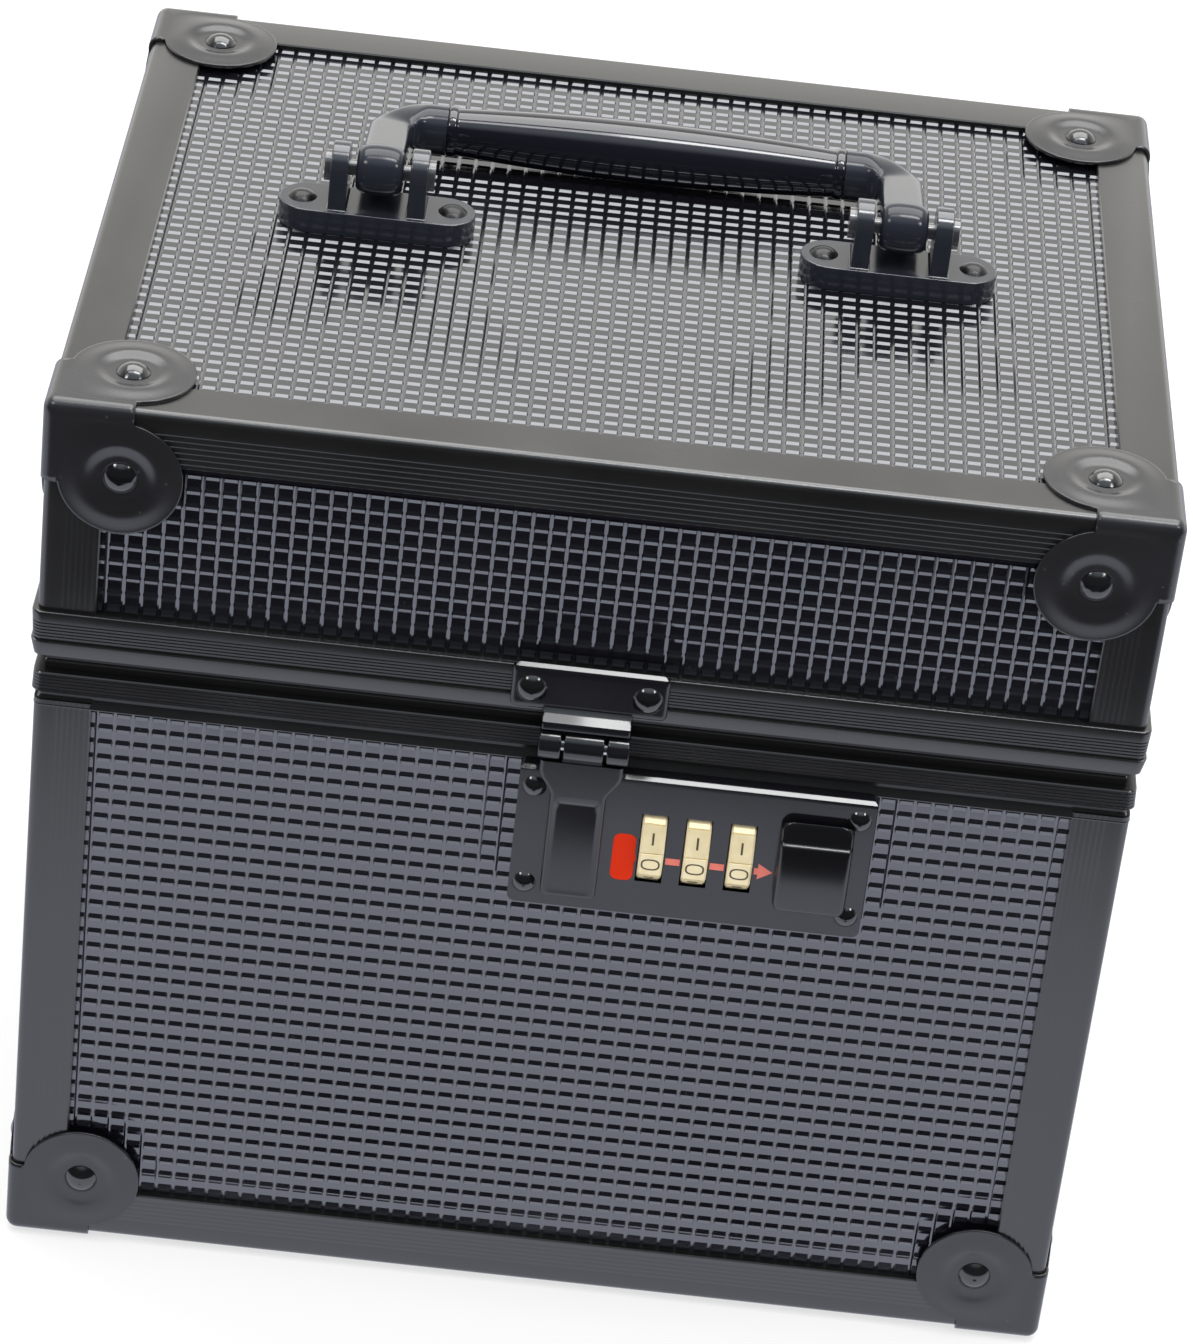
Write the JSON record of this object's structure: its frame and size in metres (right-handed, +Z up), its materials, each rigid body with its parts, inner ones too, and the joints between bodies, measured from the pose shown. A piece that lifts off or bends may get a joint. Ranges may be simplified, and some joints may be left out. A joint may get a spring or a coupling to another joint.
{
  "type": "lockable carry box",
  "caption": "Panelled box in corner extrusions with round-lobed corner caps, a rear-hinged lid, a fold-down bail handle and a combination lock with a hasp.",
  "frame": {"origin": "Centre of the bottom of the overall box, on the plane that the closed box stands on, which is the flat rings of the four lower corner caps.", "axes": "+Z up; the front with the lock faces -Y; +X to the right seen from the front. The overall box reaches from the lock's release button at -Y to the hinge barrels at +Y."},
  "size_m": [0.201, 0.1768, 0.1966],
  "materials": {
    "panel": "glossy, embossed with a fine square grid",
    "frame": "black anodised, finely ribbed along its length",
    "cap": "satin black",
    "lining": "matte",
    "bright_steel": "bright",
    "bail": "glossy black",
    "grip": "glossy",
    "lock_body": "glossy black",
    "index_paint": "enamel",
    "dial": "satin",
    "button": "glossy"
  },
  "bodies": {
    "base": {"base_front_panel": "panel", "base_back_panel": "panel", "base_side_panels": "panel", "base_bottom_panel": "panel", "base_bottom_frame": "frame", "base_corner_posts": "frame", "base_rim": "frame", "base_corner_caps": "cap", "base_cap_rivets": "cap", "base_lining": "lining", "lock_plate": "lock_body", "lock_plate_rivets": "cap", "lock_index_line": "index_paint", "dial_shaft": "bright_steel", "detent_spring": "bright_steel", "bolt_spring": "bright_steel", "lock_cover": "lock_body", "lock_cover_screws": "bright_steel", "hinge_base_leaves": "cap", "hinge_pins": "bright_steel", "hinge_base_rivets": "cap"},
    "lid": {"lid_top_panel": "panel", "lid_front_panel": "panel", "lid_back_panel": "panel", "lid_side_panels": "panel", "lid_top_frame": "frame", "lid_corner_posts": "frame", "lid_rim": "frame", "lid_corner_caps": "cap", "lid_cap_rivets": "cap", "lid_lining": "lining", "handle_brackets": "cap", "bracket_screws": "cap", "bracket_nuts": "bright_steel", "handle_pins": "bright_steel", "keeper_plate": "cap", "keeper_rivets": "cap", "hasp_pin": "bright_steel", "hinge_lid_leaves": "cap", "hinge_lid_rivets": "cap"},
    "handle": {"handle_bail": "bail", "handle_grip": "grip"},
    "hasp": {"hasp": "lock_body"},
    "dial_1": {"dial_1": "dial"},
    "dial_2": {"dial_2": "dial"},
    "dial_3": {"dial_3": "dial"},
    "release": {"release_button": "button", "lock_bolt": "bright_steel"}
  },
  "joints": [
    {"name": "lid_hinge", "type": "hinge", "parent": "base", "child": "lid", "pos_m": [0, 0.08565, 0.1287], "axis": [-1, 0, 0], "range_deg": [0, 100]},
    {"name": "handle_pivot", "type": "hinge", "parent": "lid", "child": "handle", "pos_m": [0, 0.00115, 0.1918], "axis": [1, 0, 0], "range_deg": [0, 198]},
    {"name": "hasp_pivot", "type": "hinge", "parent": "lid", "child": "hasp", "pos_m": [0, -0.08405, 0.126], "axis": [-1, 0, 0], "range_deg": [0, 100]},
    {"name": "dial_1_spin", "type": "hinge", "parent": "base", "child": "dial_1", "pos_m": [0.0142, -0.07795, 0.1054], "axis": [1, 0, 0], "continuous": true},
    {"name": "dial_2_spin", "type": "hinge", "parent": "base", "child": "dial_2", "pos_m": [0.0222, -0.07795, 0.1054], "axis": [1, 0, 0], "continuous": true},
    {"name": "dial_3_spin", "type": "hinge", "parent": "base", "child": "dial_3", "pos_m": [0.0302, -0.07795, 0.1054], "axis": [1, 0, 0], "continuous": true},
    {"name": "release_slide", "type": "slide", "parent": "base", "child": "release", "axis": [1, 0, 0], "range_m": [0, 0.0035], "stiffness_N_per_m": 400, "springref_m": -0.002, "deforming": ["bolt_spring"]}
  ]
}
